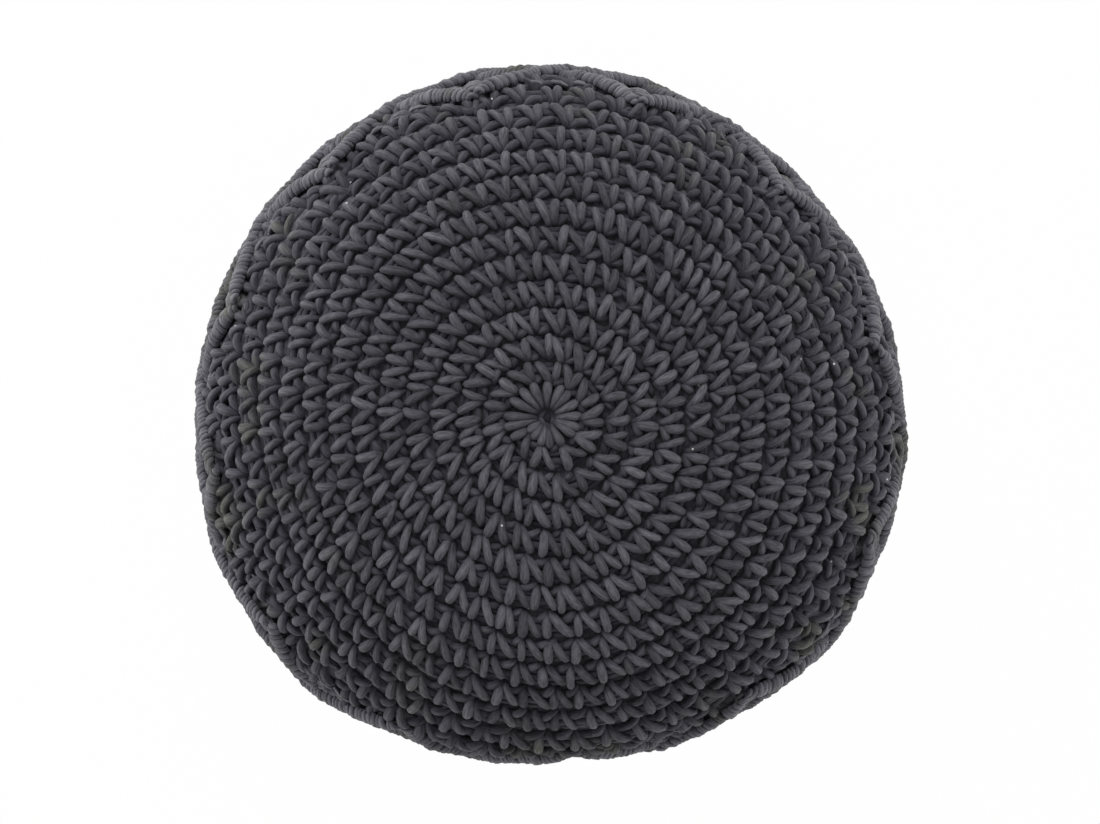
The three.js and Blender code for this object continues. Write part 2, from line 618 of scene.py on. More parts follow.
# The leg of a stitch that runs straight out from its foot.
STRAIGHT_LEG = StrandShape(
    inner=(
        (0.03, 0.06, -13.0, 0.64),
        (0.02, 0.12, -8.8, 0.82),
        (0.01, 0.24, -5.8, 0.97),
        (0.00, 0.42, -3.8, 1.05),
        (0.00, 0.60, -3.1, 1.07),
        (0.00, 0.76, -3.8, 1.04),
        (0.00, 0.87, -6.4, 0.92),
        (0.00, 0.92, -12.0, 0.68),
    ),
    outer=(
        (0.02, 0.16, -13.0, 0.60),
        (0.02, 0.24, -9.0, 0.82),
        (0.01, 0.35, -5.6, 0.98),
        (0.00, 0.47, -3.9, 1.06),
        (0.00, 0.59, -3.4, 1.08),
        (0.00, 0.71, -4.3, 1.04),
        (0.00, 0.81, -7.0, 0.90),
        (0.00, 0.85, -12.5, 0.62),
    ),
)

# The leg that leans over from the foot towards the next stitch.
SLANTED_LEG = StrandShape(
    inner=(
        (-0.07, -0.01, -13.0, 0.62),
        (-0.11, 0.05, -8.8, 0.78),
        (-0.19, 0.18, -5.9, 0.90),
        (-0.33, 0.37, -3.9, 0.96),
        (-0.47, 0.55, -3.1, 0.98),
        (-0.60, 0.72, -3.9, 0.95),
        (-0.69, 0.83, -6.4, 0.84),
        (-0.73, 0.88, -12.0, 0.62),
    ),
    outer=(
        (-0.14, 0.13, -13.0, 0.56),
        (-0.18, 0.20, -9.2, 0.74),
        (-0.25, 0.29, -5.9, 0.86),
        (-0.36, 0.42, -4.1, 0.91),
        (-0.47, 0.55, -3.5, 0.93),
        (-0.57, 0.67, -4.3, 0.89),
        (-0.65, 0.77, -7.0, 0.78),
        (-0.68, 0.80, -12.5, 0.56),
    ),
)

# The short loop that shows between a stitch's foot and the next one's.
BACK_LOOP = StrandShape(
    inner=(
        (-0.98, 0.01, -12.5, 0.55),
        (-0.94, 0.04, -9.8, 0.70),
        (-0.86, 0.09, -7.6, 0.82),
        (-0.75, 0.16, -6.3, 0.90),
        (-0.62, 0.23, -6.3, 0.90),
        (-0.53, 0.28, -8.2, 0.80),
        (-0.48, 0.31, -12.5, 0.55),
    ),
    outer=(
        (-1.02, 0.07, -12.5, 0.54),
        (-0.98, 0.09, -9.6, 0.70),
        (-0.90, 0.13, -7.4, 0.80),
        (-0.77, 0.19, -6.1, 0.85),
        (-0.62, 0.26, -6.1, 0.85),
        (-0.50, 0.32, -7.8, 0.76),
        (-0.44, 0.35, -12.5, 0.54),
    ),
)

# The loop across the top of a stitch, buried under the next row.
TOP_LOOP_PATH = (
    (-1.02, 0.78, -11.0, 0.65),
    (-0.84, 0.76, -9.2, 0.85),
    (-0.55, 0.78, -8.4, 0.94),
    (-0.26, 0.82, -8.8, 0.88),
    (-0.05, 0.85, -11.0, 0.65),
)
TOP_LOOP = StrandShape(inner=TOP_LOOP_PATH, outer=TOP_LOOP_PATH, detail=0.5)

# A thin loop at the panel's edge, with across as in StrandShape and outward as a share of its length.
EDGE_LOOP = (
    (0.00, 0.05, -10.0, 0.60),
    (0.04, 0.20, -6.8, 0.74),
    (0.14, 0.45, -4.8, 0.84),
    (0.26, 0.70, -5.0, 0.84),
    (0.36, 0.88, -7.6, 0.74),
    (0.42, 0.95, -12.0, 0.55),
)

# A strand of the first round, as rows of (share of the way out, depth, thickness).
CENTRE_STRAND = (
    (-0.10, -15.0, 0.50),
    (0.04, -9.0, 0.60),
    (0.22, -5.2, 0.72),
    (0.50, -3.4, 0.95),
    (0.75, -3.2, 1.10),
    (0.93, -5.2, 0.98),
    (1.02, -9.0, 0.80),
)


@dataclass(frozen=True)
class HiddenCord:
    """Cord that runs on under the stitches, or under the panel's edge, and shows in the gaps.

    Under the stitches outward counts rows from the row's line, and under the edge it is millimetres
    beyond the edge. depth and radius are in millimetres, and the last field is its painted light
    and shade, as in Strands.
    """

    outward: float
    depth: float
    radius: float
    painted_light: float


@dataclass(frozen=True)
class HandWork:
    """How much the strands of the stitches differ from each other, as standard deviations.

    across is in stitches, outward in rows and depth in millimetres. A shift moves a whole strand, a
    tilt moves its two ends opposite ways, and a bow moves its middle. thickness is a share of the
    cord's own.
    """

    across_shift: float = 0.045
    across_tilt: float = 0.075
    across_bow: float = 0.04
    outward_shift: float = 0.03
    outward_tilt: float = 0.03
    depth_shift: float = 0.5
    depth_tilt: float = 0.4
    thickness: float = 0.07
    shade: float = 0.55

    def moved(self, paths: np.ndarray, rng: np.random.Generator) -> np.ndarray:
        """Moves and thickens strands a little, each in its own way.

        Args:
            paths: Path of each strand, as StrandShape gives it.
            rng: Source of the small differences.

        Returns:
            The moved paths.
        """

        def drawn(spread: float, middle: float = 0.0) -> np.ndarray:
            """Draws one value for each strand."""
            return rng.normal(middle, spread, (len(paths), 1))

        across, outward, depth, thickness = np.moveaxis(paths, -1, 0)
        tilt = np.linspace(-1, 1, paths.shape[1])
        across = across + (drawn(self.across_shift) + drawn(self.across_tilt) * tilt)
        across = across + drawn(self.across_bow) * (1 - tilt**2)
        outward = outward + (drawn(self.outward_shift) + drawn(self.outward_tilt) * tilt)
        depth = depth + (drawn(self.depth_shift) + drawn(self.depth_tilt) * tilt)
        return np.stack([across, outward, depth, thickness * drawn(self.thickness, 1.0)], axis=-1)


@dataclass
class CrochetPanel:
    """Round panel of single crochet, worked outwards in one long spiral from a small centre hole.

    Turns count rows of the spiral, a pitch is a stitch's width, and spiral holds the parts of a
    row's radius for each power of the turns. Past full_pitch_radius the stitches have their outer
    pitch, and rows from outer_from_turn on go into the outer piece. The edge reaches out by scallop
    between two rim points and by hem_reach at the hem's bulge. A stitch of the last round is as high
    as the room that is left there, from squeeze of a row to one row more. tucked_end is a depth and
    a radius. Loose loops lie in loose_stretch, in degrees, and loose_reach makes them wider and
    longer by two factors and lifts them by millimetres.
    """

    form: PoufForm
    face: Face
    edge: float
    seed: int
    scallop: float = 0.0
    hem_reach: float = 0.0
    scallop_power: float = 0.85
    cord_radius: float = 3.0
    edge_growth: float = 0.08
    inner_pitch: float = 14.5
    outer_pitch: float = 19.2
    full_pitch_radius: float = 180.0
    pitch_range: tuple[float, float] = (0.9, 1.1)
    most_stitches: float = 63.0
    outer_from_turn: float = 9.0
    hand_work: HandWork = HandWork()
    rings: int = 10
    sides: int = 8
    # Depths over which the painted light runs from full painted shade to a full painted highlight.
    full_shade_depth: float = -9.5
    full_highlight_depth: float = -3.4
    hole: tuple[float, float] = (-3.9, 2.2)
    spiral: tuple[float, ...] = (6.9, 17.1, 0.27, -0.019)
    settle_turns: float = 1.5
    full_turns: float = 12.0
    tighter_turns: tuple[float, float] = (7.0, 11.0)
    centre_drift: tuple[Wave, ...] = (Wave(1, -5.0, 2.8),)
    row_waves: tuple[Wave, ...] = (
        Wave(1, 0.6, 0.7),
        Wave(2, 3.7, -4.2),
        Wave(3, -2.0, -0.7),
        Wave(4, 1.0, 1.7),
    )
    first_turn: float = 0.35
    centre_strands: int = 17
    centre_rings: int = 3
    centre_radius: float = 6.5
    centre_spread: float = 0.13
    centre_overlap: float = 1.5
    squeeze: float = 0.38
    under_sides: int = 5
    tucked_end: tuple[float, float] = (-11.0, 6.5)
    tucked_rings: int = 5
    # Their painted light is low, so the cords that show in the gaps are painted in part shade.
    under_cords: tuple[HiddenCord, ...] = (
        HiddenCord(0.34, -8.4, 3.1, 0.42),
        HiddenCord(0.62, -8.0, 3.1, 0.45),
    )
    under_step: float = 17.0
    under_turn: float = 0.25
    edge_cords: tuple[HiddenCord, ...] = (
        HiddenCord(-7.0, -7.6, 3.4, 0.42),
        HiddenCord(1.0, -7.4, 4.0, 0.42),
        HiddenCord(6.0, -8.4, 4.2, 0.40),
    )
    edge_steps: int = 180
    edge_loop_count: int = 130
    edge_loop_length: float = 17.0
    edge_loop_shift: float = 0.4
    edge_loop_spread: float = 0.25
    loose_loop_count: int = 0
    loose_stretch: tuple[float, float] = (14.0, 104.0)
    loose_reach: tuple[float, float, float] = (2.2, 1.2, 4.2)

    def row_radius(self, turns: np.ndarray, bearing: np.ndarray) -> np.ndarray:
        """Gives the spiral's distance from the centre hole.

        Args:
            turns: How many turns have been worked.
            bearing: Bearing from the centre hole.

        Returns:
            The distance.
        """
        plain = sum(part * turns**power for power, part in enumerate(self.spiral))
        settled = 1 - np.exp(-turns / self.settle_turns)
        slow = settled * waves_at(self.centre_drift, bearing)
        return plain + slow + turns / self.full_turns * waves_at(self.row_waves, bearing)

    def edge_radius(self, bearing: np.ndarray) -> np.ndarray:
        """Gives the distance from the centre hole to the panel's edge.

        Args:
            bearing: Bearing from the centre hole.

        Returns:
            The distance.
        """
        toward = self.hole[0] * np.sin(bearing) + self.hole[1] * np.cos(bearing)
        station = self.form.station_at(bearing)
        from_point = 2 * np.abs(station - np.round(station))
        edge = self.edge + self.scallop * from_point**self.scallop_power
        edge = edge + self.hem_reach * self.form.hem.at(bearing)
        if self.face is Face.TOP:
            return self.form.crown_reach(edge, bearing) - toward
        return edge * self.form.outline(bearing) - toward

    def lay_out(self, rng: np.random.Generator) -> tuple[np.ndarray, np.ndarray, np.ndarray]:
        """Works out where each stitch sits.

        Args:
            rng: Source of the small differences between stitches.

        Returns:
            The progress of each stitch along the spiral in radians, the angle it takes up, and
            its height in rows, which differs from 1 only in the last round.
        """
        stitches = []
        spot = self.first_turn * 2 * math.pi
        without_room = 0.0
        while without_room < 2 * math.pi:
            turns = spot / (2 * math.pi)
            inner, middle, outer = (
                float(self.row_radius(np.array(turns + rows), np.array(-spot))) for rows in (0.0, 0.5, 1.0)
            )
            room = (float(self.edge_radius(np.array(-spot))) - inner) / (outer - inner)
            share = min(middle / self.full_pitch_radius, 1)
            pitch = self.inner_pitch + (self.outer_pitch - self.inner_pitch) * share
            angle = max(pitch / middle, 2 * math.pi / self.most_stitches) * rng.uniform(*self.pitch_range)
            if room < self.squeeze:
                without_room += angle
            else:
                stitches.append((spot, angle, room if room < 1 + self.squeeze else 1.0))
                without_room = 0.0
            spot += angle
        return tuple(np.array(stitches).T)

    def place(self, progress: np.ndarray, outward: np.ndarray, depth: np.ndarray) -> tuple[np.ndarray, ...]:
        """Puts points of the crochet on the panel's face.

        Args:
            progress: Angle worked along the spiral, in radians, anticlockwise.
            outward: Rows beyond the spiral there.
            depth: Distance outside the cord tops in millimetres.

        Returns:
            The points and the outward directions there.
        """
        turns = np.maximum(progress / (2 * np.pi) + outward, 0.0)
        radius = self.row_radius(turns, -progress)
        return self.place_flat(radius, -progress, depth)

    def place_flat(
        self, radius: np.ndarray, bearing: np.ndarray, depth: np.ndarray
    ) -> tuple[np.ndarray, ...]:
        """Puts points on the panel's face by their place from the centre hole.

        Args:
            radius: Distance from the centre hole.
            bearing: Bearing from the centre hole.
            depth: Distance outside the cord tops in millimetres.

        Returns:
            The points and the outward directions there.
        """
        flat = at_bearing(radius, bearing) + self.hole
        if self.face is Face.TOP:
            return self.form.on_crown(flat, depth)
        return self.form.on_base(flat * (-1, 1), depth)

    def strands(
        self, shape: StrandShape, stitches: tuple[np.ndarray, ...], rng: np.random.Generator
    ) -> Strands:
        """Makes one strand in every stitch.

        Args:
            shape: The strand's path in a stitch.
            stitches: Progress, width and height of each stitch.
            rng: Source of the small differences between stitches.

        Returns:
            The strands.
        """
        progress, width, height = stitches
        first, last = self.tighter_turns
        paths = shape.between(np.clip((progress / (2 * np.pi) - first) / (last - first), 0, 1))
        paths = smooth_through(self.hand_work.moved(paths, rng), round(self.rings * shape.detail))
        growth = 1 + self.edge_growth * (progress / (2 * np.pi * self.full_turns)) ** 3
        thickness = self.cord_radius * paths[:, :, 3] * growth[:, None]
        depth = self.pressed(paths[:, :, 2], thickness)
        spot = progress[:, None] - paths[:, :, 0] * width[:, None]
        points, outward = self.place(spot, paths[:, :, 1] * height[:, None], depth)
        shade = shades(rng, len(progress), self.hand_work.shade)
        return Strands(points, outward, thickness, shade, self.painted_light(depth))

    def edge_loops(self, rng: np.random.Generator) -> Strands:
        """Makes the thin loops that lean out of the last round and over the ridge below it.

        Args:
            rng: Source of the small differences between loops.

        Returns:
            The loops, the loose ones last.
        """
        even, shift = np.arange(self.edge_loop_count), self.edge_loop_shift
        neat = 2 * np.pi * (even + rng.uniform(-shift, shift, len(even))) / len(even)
        first, last = np.radians(self.loose_stretch)
        bearing = np.concatenate([neat, rng.uniform(first, last, self.loose_loop_count)])
        paths = np.repeat(np.array(EDGE_LOOP)[None], len(bearing), axis=0)
        paths[:, :, :2] *= rng.normal(1, self.edge_loop_spread, (len(bearing), 1, 2))
        paths[:, :, 2] += rng.normal(0, self.hand_work.depth_shift, (len(bearing), 1))
        wider, longer, prouder = self.loose_reach
        loose = paths[len(even) :]
        loose[:, :, 0] *= wider
        loose[:, :, 1] *= longer
        loose[:, :, 2] += prouder
        paths = smooth_through(paths, self.rings)
        spot = bearing[:, None] + paths[:, :, 0] * self.outer_pitch / self.edge
        radius = self.edge_radius(spot) + (paths[:, :, 1] - 0.5) * self.edge_loop_length
        thickness = self.cord_radius * paths[:, :, 3]
        depth = self.pressed(paths[:, :, 2], thickness)
        points, outward = self.place_flat(radius, spot, depth)
        return Strands(points, outward, thickness, shades(rng, len(bearing)), self.painted_light(depth))

    def pressed(self, depth: np.ndarray, thickness: np.ndarray) -> np.ndarray:
        """Gives the depth of strands, which on the base are pressed flat by the pouf's weight."""
        return np.minimum(depth, -thickness) if self.face is Face.BASE else depth

    def painted_light(self, depth: np.ndarray) -> np.ndarray:
        """Gives the painted light at a depth, from 0, full painted shade where a strand is buried, to 1, a
        full painted highlight where it stands proud.
        """
        return np.clip((depth - self.full_shade_depth) / (self.full_highlight_depth - self.full_shade_depth), 0, 1)

    def centre_star(self, rng: np.random.Generator) -> Strands:
        """Makes the first round, whose strands all run out of the centre hole.

        Args:
            rng: Source of the small differences between strands.

        Returns:
            The strands.
        """
        count = self.centre_strands
        even = (np.arange(count) + rng.normal(0, self.centre_spread, count)) / count
        turns = self.first_turn + even
        bearing = -2 * np.pi * turns
        reach = self.row_radius(turns, bearing) + self.centre_overlap
        path = smooth_through(np.array(CENTRE_STRAND), self.rings + self.centre_rings)
        radius = self.centre_radius + path[None, :, 0] * (reach - self.centre_radius)[:, None]
        depth = np.broadcast_to(path[:, 1], radius.shape)
        points, outward = self.place_flat(radius, np.broadcast_to(bearing[:, None], radius.shape), depth)
        thickness = self.cord_radius * np.broadcast_to(path[:, 2], radius.shape)
        return Strands(points, outward, thickness, shades(rng, count), self.painted_light(depth))

    def tucked_knot(self) -> Strands:
        """Makes the cord's starting end, tucked deep in the centre hole, in the darkest dye and full
        painted shade, which paints the hole's shadow.

        Returns:
            The end, as one thick short strand.
        """
        depth, radius = self.tucked_end
        reach = np.linspace(-radius, radius, self.tucked_rings)[None]
        middle = np.full_like(reach, depth - radius / 2)
        points, outward = self.place_flat(reach, np.zeros_like(reach), middle)
        thickness = radius * np.sqrt(np.maximum(1 - (reach / radius) ** 2, TIP_SHARE_SQUARED))
        # Painted shadow: the darkest strand shade and no painted light keep the centre hole dark.
        return Strands(points, outward, thickness, -np.ones(1), np.zeros_like(reach))

    def under_cord(self, cord: HiddenCord) -> Strands:
        """Makes one of the cords that run on along the spiral under the stitches.

        Args:
            cord: Where it runs and how thick it is.

        Returns:
            The cord, as one long strand.
        """
        steps = []
        spot = self.first_turn * 2 * np.pi
        while True:
            radius = float(self.row_radius(np.array(spot / (2 * np.pi) + cord.outward), np.array(-spot)))
            if radius > float(self.edge_radius(np.array(-spot))):
                break
            steps.append(spot)
            spot += min(self.under_step / radius, self.under_turn)
        progress = np.array(steps)[None]
        outward_rows, depth = np.full_like(progress, cord.outward), np.full_like(progress, cord.depth)
        points, outward = self.place(progress, outward_rows, depth)
        thickness = np.full_like(progress, cord.radius)
        return Strands(points, outward, thickness, np.zeros(1), np.full_like(progress, cord.painted_light))

    def edge_cord(self, cord: HiddenCord) -> Strands:
        """Makes one of the cords that run round under the panel's edge.

        Args:
            cord: Where it runs and how thick it is.

        Returns:
            The cord, as one long strand.
        """
        bearing = np.linspace(0, 2 * np.pi, self.edge_steps)[None]
        radius = self.edge_radius(bearing) + cord.outward
        points, outward = self.place_flat(radius, bearing, np.full_like(bearing, cord.depth))
        thickness = np.full_like(bearing, cord.radius)
        return Strands(points, outward, thickness, np.zeros(1), np.full_like(bearing, cord.painted_light))

    def build(self) -> list[CordWork]:
        """Lays out the stitches and makes their strands.

        Returns:
            The panel's inner rows, its outer rows and the cords that show under them.
        """
        rng = np.random.default_rng(self.seed)
        progress, width, height = self.lay_out(rng)
        node = TOP_NODE if self.face is Face.TOP else BASE_NODE
        slot = "top_cord" if self.face is Face.TOP else "base_cord"
        inner = CordWork(f"crochet_{self.face.value}_inner_rows", slot, node, self.sides)
        outer = CordWork(f"crochet_{self.face.value}_outer_rows", slot, node, self.sides)
        under = CordWork(f"crochet_{self.face.value}_under_cords", slot, node, self.under_sides)
        inner.add(self.centre_star(rng))
        under.add(self.tucked_knot())
        for cord in self.under_cords:
            under.add(self.under_cord(cord))
        for cord in self.edge_cords:
            under.add(self.edge_cord(cord))
        under.add(self.strands(TOP_LOOP, (progress, width, height), rng))
        is_inner = progress < 2 * np.pi * self.outer_from_turn
        for work, chosen in ((inner, is_inner), (outer, ~is_inner)):
            stitches = (progress[chosen], width[chosen], height[chosen])
            for shape in (STRAIGHT_LEG, SLANTED_LEG, BACK_LOOP):
                work.add(self.strands(shape, stitches, rng))
        outer.add(self.edge_loops(rng))
        LOG.info("%s: %d stitches", self.face.value, len(progress))
        return [inner, outer, under]


# ---------------------------------------------------------------------------------------------
# Knotted side band
# ---------------------------------------------------------------------------------------------


class Lean(Enum):
    """Which way a ridge runs as it goes down the side."""

    RIGHT = 1
    LEFT = -1


@dataclass
class KnottedBand:
    """Side band of double half hitch ridges that cross in diamonds, with gathered cords between.

    Rows count down the side from the rim, and a ridge moves one column round for each row. A wrap is
    one turn of cord over a ridge. It reaches wrap_reach degrees down each flank, and ridge_tip is
    the length over which a ridge grows to its full size. What ends in _spread is a standard
    deviation, as a share, or in millimetres for a lean or a depth.
    """

    form: PoufForm
    seed: int
    cord_radius: float = 2.25
    wrap_radius: float = 4.3
    wrap_pitch: float = 3.6
    wrap_place: tuple[float, float] = (0.35, 0.65)
    wrap_reach: float = 105.0
    wrap_lean: float = 1.5
    wrap_size_spread: float = 0.08
    wrap_lean_spread: float = 0.55
    wrap_thickness_spread: float = 0.12
    ridge_depth: float = -7.0
    ridge_samples: int = 600
    direction_step: float = 0.05
    first_ridge_row: float = 0.1
    ridge_tip: float = 12.0
    crossing_lift: float = 1.5
    rings: int = 7
    sides: int = 6
    gathered_sides: int = 5
    last_row: int = 24
    diamond_cords: int = 7
    diamond_half_width: float = 3.2
    diamond_half_height: float = 3.6
    shortest_cord: float = 0.3
    gathered_rings: int = 9
    small_cord_radius: float = 1.5
    cord_depth: float = -12.0
    cord_lift: float = 2.0
    cord_pinch: float = 0.08
    cord_depth_spread: float = 0.4
    # Middle painted light on the gathered cords, between painted shade and a painted highlight.
    cord_painted_light: float = 0.6
    first_knot_row: float = 1.6
    knot_rings: int = 4
    knot_step: float = 0.3
    knot_width: float = 0.52
    knot_width_spread: float = 0.12
    knot_slope: float = 0.16
    knot_slope_spread: float = 0.3
    knot_foot: float = 1.5
    knot_lift: float = 2.2
    knot_depth_spread: float = 0.3
    knot_thickness: tuple[float, float] = (1.15, 0.35)
    knot_thickness_spread: float = 0.08

    @property
    def tier_rows(self) -> int:
        """Rows from one crossing of two ridges to the next."""
        return self.form.columns_per_point // 2

    def share_at(self, row: np.ndarray) -> np.ndarray:
        """Gives how far down the side a ridge's row lies."""
        return np.asarray(row) / self.last_row

    def ridge(self, point: int, lean: Lean, rng: np.random.Generator) -> Strands:
        """Makes the wraps of one ridge, from its rim point down to the base.

        Args:
            point: Number of the rim point that the ridge starts from.
            lean: Which way it runs.
            rng: Source of the small differences between wraps.

        Returns:
            The wraps, each a short strand over the ridge.
        """
        row = np.linspace(self.first_ridge_row, self.last_row, self.ridge_samples)
        line, _ = self.ridge_point(row, point, lean)
        length = np.concatenate([[0], np.cumsum(np.linalg.norm(np.diff(line, axis=0), axis=1))])
        count = int(length[-1] / self.wrap_pitch)
        places = (np.arange(count) + rng.uniform(*self.wrap_place, count)) * self.wrap_pitch
        at = np.interp(places, length, row)
        centre, outward = self.ridge_point(at, point, lean)
        ahead, _ = self.ridge_point(at + self.direction_step, point, lean)
        behind, _ = self.ridge_point(at - self.direction_step, point, lean)
        along = unit(ahead - behind)
        across, upward = across_and_up(along, outward)
        angle = np.radians(np.linspace(-self.wrap_reach, self.wrap_reach, self.rings))
        closed = np.sqrt(np.clip(places / self.ridge_tip, TIP_SHARE_SQUARED, 1))[:, None]
        size = self.wrap_radius * closed * rng.normal(1, self.wrap_size_spread, (count, 1))
        slant = self.wrap_lean * lean.value + rng.normal(0, self.wrap_lean_spread, (count, 1))
        points = (
            centre[:, None]
            + across[:, None] * (size * np.sin(angle))[..., None]
            + upward[:, None] * (size * np.cos(angle))[..., None]
            + along[:, None] * (slant * np.sin(angle))[..., None]
        )
        spoke = points - centre[:, None]
        uneven = rng.normal(1, self.wrap_thickness_spread, (count, 1))
        thickness = self.cord_radius * uneven * np.ones(self.rings)
        # Painted highlight on the outer top of each wrap, fading to painted shade down its flanks.
        painted_light = np.maximum(np.cos(angle), 0) * np.ones((count, 1))
        return Strands(points, spoke, thickness, shades(rng, count), painted_light)

    def crossing(self, row: np.ndarray) -> np.ndarray:
        """Gives 1 where two ridges cross, fading to 0 between the crossings."""
        return 0.5 + 0.5 * np.cos(2 * np.pi * row / self.tier_rows)

    def ridge_point(self, row: np.ndarray, point: int, lean: Lean) -> tuple[np.ndarray, np.ndarray]:
        """Gives a place on a ridge.

        Args:
            row: Rows down from the rim.
            point: Number of the rim point that the ridge starts from.
            lean: Which way it runs.

        Returns:
            The middle of the ridge and its outward direction there.
        """
        station = point + lean.value * row / self.form.columns_per_point
        depth = self.ridge_depth + self.crossing_lift * lean.value * self.crossing(row)
        return self.form.on_side(station, self.share_at(row), depth)

    def diamond(self, row: float, station: float, rng: np.random.Generator) -> list[Strands]:
        """Makes the gathered cords in one diamond and the small knots along them.

        Args:
            row: Ridge row of the diamond's middle.
            station: Station of the diamond's middle.
            rng: Source of the small differences between cords.

        Returns:
            The cords and the knots.
        """
        widest = self.diamond_half_width
        spread = np.linspace(-widest, widest, self.diamond_cords)
        half = self.diamond_half_height - np.abs(spread)
        start, end = np.maximum(row - half, self.first_knot_row), np.minimum(row + half, self.last_row)
        is_cord = end - start > self.shortest_cord
        spread, half, start, end = (part[is_cord] for part in (spread, half, start, end))
        rows = np.linspace(start, end, self.gathered_rings, axis=1)
        middle = 1 - ((rows - row) / half[:, None]) ** 2
        stations = station + spread[:, None] / self.form.columns_per_point * (1 - self.cord_pinch * middle)
        uneven = rng.normal(0, self.cord_depth_spread, (len(spread), 1))
        depth = self.cord_depth + self.cord_lift * middle + uneven
        points, outward = self.form.on_side(stations, self.share_at(rows), depth)
        thickness = np.full(rows.shape, self.small_cord_radius)
        painted_light = np.full(rows.shape, self.cord_painted_light)
        cords = Strands(points, outward, thickness, shades(rng, len(spread)), painted_light)
        return [cords, self.small_knots(row, station, spread, half, rng)]

    def small_knots(
        self, row: float, station: float, spread: np.ndarray, half: np.ndarray, rng: np.random.Generator
    ) -> Strands:
        """Makes the small half knots that lie close together along the gathered cords.

        Args:
            row: Ridge row of the diamond's middle.
            station: Station of the diamond's middle.
            spread: Columns from the diamond's middle to each cord.
            half: Rows that each cord runs up and down from the middle.
            rng: Source of the small differences between knots.

        Returns:
            The knots, each a short arc over its cord.
        """
        knot_rows, knot_columns, sides = [], [], []
        for column, reach in zip(spread, half):
            places = np.arange(row - reach, row + reach, self.knot_step) + rng.uniform(0, self.knot_step)
            places = places[(places > self.first_knot_row) & (places < self.last_row)]
            knot_rows.append(places)
            knot_columns.append(np.full(len(places), column))
            sides.append(np.where(np.arange(len(places)) % 2, 1, -1))
        rows, columns, side = (np.concatenate(parts)[:, None] for parts in (knot_rows, knot_columns, sides))
        across = np.linspace(-1, 1, self.knot_rings)[None]
        width = self.knot_width * rng.normal(1, self.knot_width_spread, rows.shape)
        slope = self.knot_slope * side * rng.normal(1, self.knot_slope_spread, rows.shape)
        stations = station + (columns + across * width) / self.form.columns_per_point
        arch = self.cord_depth + self.knot_foot + self.knot_lift * (1 - across**2)
        depth = arch + rng.normal(0, self.knot_depth_spread, rows.shape)
        points, outward = self.form.on_side(stations, self.share_at(rows + across * slope), depth)
        thick, thinner = self.knot_thickness
        uneven = rng.normal(1, self.knot_thickness_spread, rows.shape)
        thickness = self.small_cord_radius * (thick - thinner * across**2) * uneven
        # The knots get a full painted highlight along their tops.
        return Strands(points, outward, thickness, shades(rng, len(rows)), np.ones_like(thickness))

    def build(self) -> list[CordWork]:
        """Makes the ridges that lean each way and the cords between them.

        Returns:
            The two kinds of ridges, and the gathered cords of the band's upper and lower halves.
        """
        rng = np.random.default_rng(self.seed)
        pieces = []
        for lean in Lean:
            work = CordWork(f"ridges_leaning_{lean.name.lower()}", "side_cord", SIDE_NODE, self.sides)
            for point in range(self.form.rim_points):
                work.add(self.ridge(point, lean, rng))
            pieces.append(work)
        upper = CordWork("gathered_cords_upper", "side_cord", SIDE_NODE, self.gathered_sides)
        lower = CordWork("gathered_cords_lower", "side_cord", SIDE_NODE, self.gathered_sides)
        for tier, row in enumerate(range(0, self.last_row + 1, self.tier_rows)):
            work = upper if row < self.last_row / 2 else lower
            for point in range(self.form.rim_points):
                for strands in self.diamond(row, point + 0.5 * ((tier + 1) % 2), rng):
                    work.add(strands)
        return [*pieces, upper, lower]


# ---------------------------------------------------------------------------------------------
# Filled body
# ---------------------------------------------------------------------------------------------


